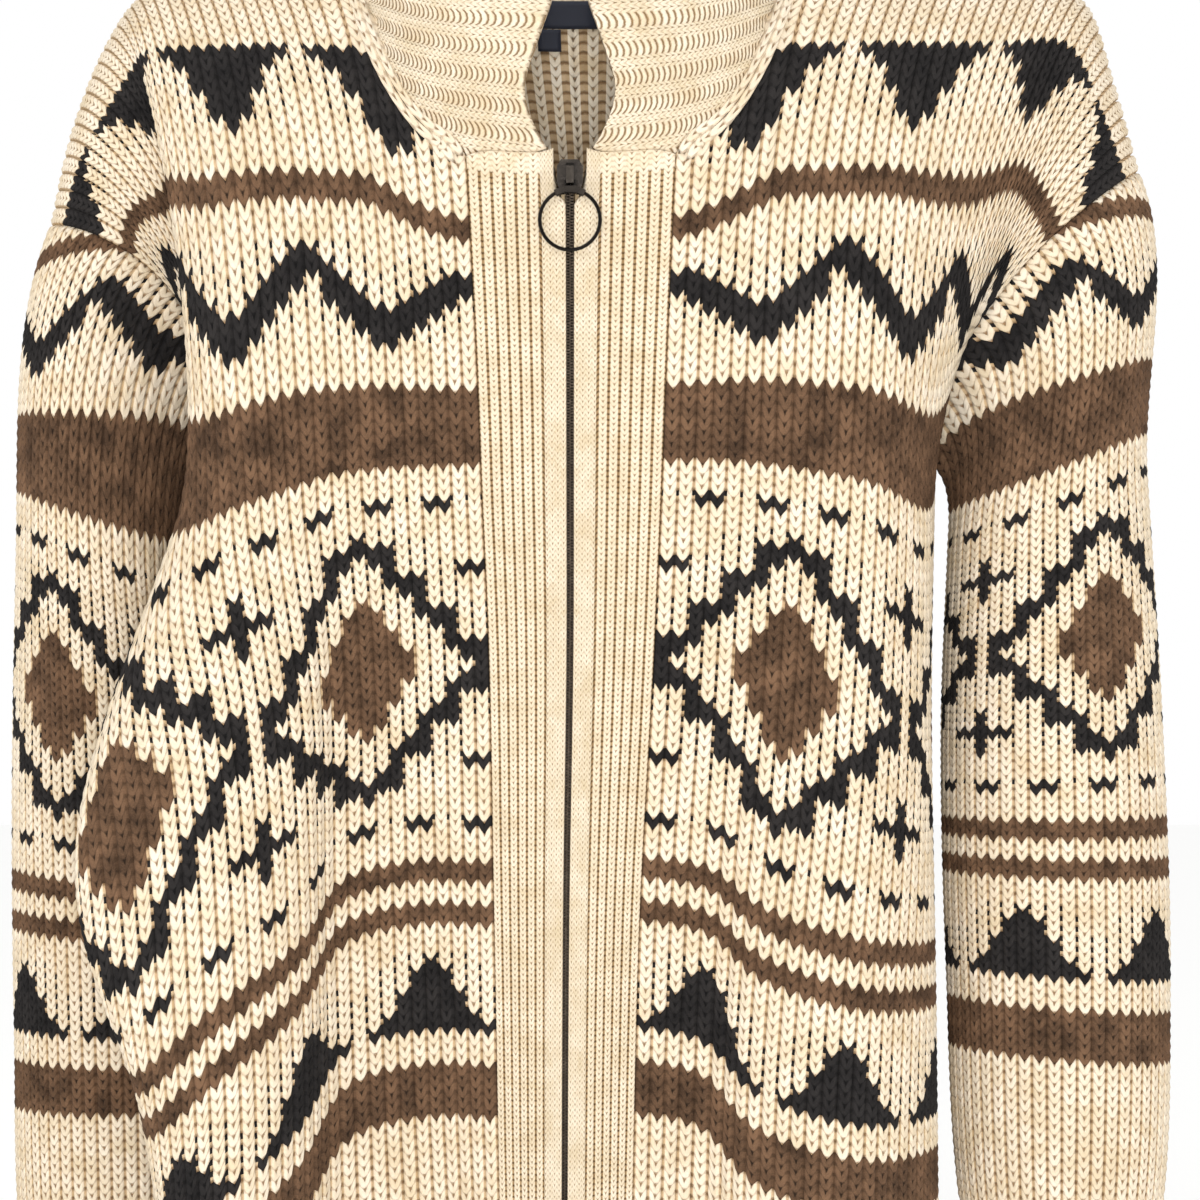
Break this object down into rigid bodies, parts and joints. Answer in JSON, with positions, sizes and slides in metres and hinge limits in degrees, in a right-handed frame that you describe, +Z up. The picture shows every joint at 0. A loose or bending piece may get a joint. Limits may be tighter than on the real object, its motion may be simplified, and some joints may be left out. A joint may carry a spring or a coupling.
{
  "type": "cowichan cardigan",
  "caption": "Chunky ribbed knitted cardigan with a stand collar, long sleeves and a full-length front zip with a ring pull, hanging filled out.",
  "frame": {"origin": "midway between the two neck points, where the shoulder seams meet the collar, on the shoulder line", "axes": "+Z up along the hanging garment, -Y out of its front, +X towards the wearer's left"},
  "size_m": [0.6482, 0.2154, 0.8551],
  "materials": {
    "wool": "chunky half-cardigan rib in brushed wool",
    "fine_rib": "finer ribbed wool",
    "zip_tape": "woven tape",
    "zip_metal": "dark gunmetal plating",
    "label": "plain navy woven label"
  },
  "bodies": {
    "cardigan": {"back": "wool", "front_right": "wool", "front_left": "wool", "sleeve_right": "wool", "sleeve_left": "wool", "placket_right": "fine_rib", "placket_left": "fine_rib", "collar": "fine_rib", "zip_tape_right": "zip_tape", "zip_tape_left": "zip_tape", "zip_chain": "zip_metal", "zip_box": "zip_metal", "slider": "zip_metal", "neck_label": "label", "size_tab": "label"},
    "pull": {"pull_tab": "zip_metal", "pull_ring": "zip_metal"}
  },
  "joints": [
    {"name": "pull_swing", "type": "hinge", "parent": "cardigan", "child": "pull", "pos_m": [-0.00001, -0.07503, -0.13361], "axis": [-1, 0, 0], "range_deg": [0, 98]}
  ]
}
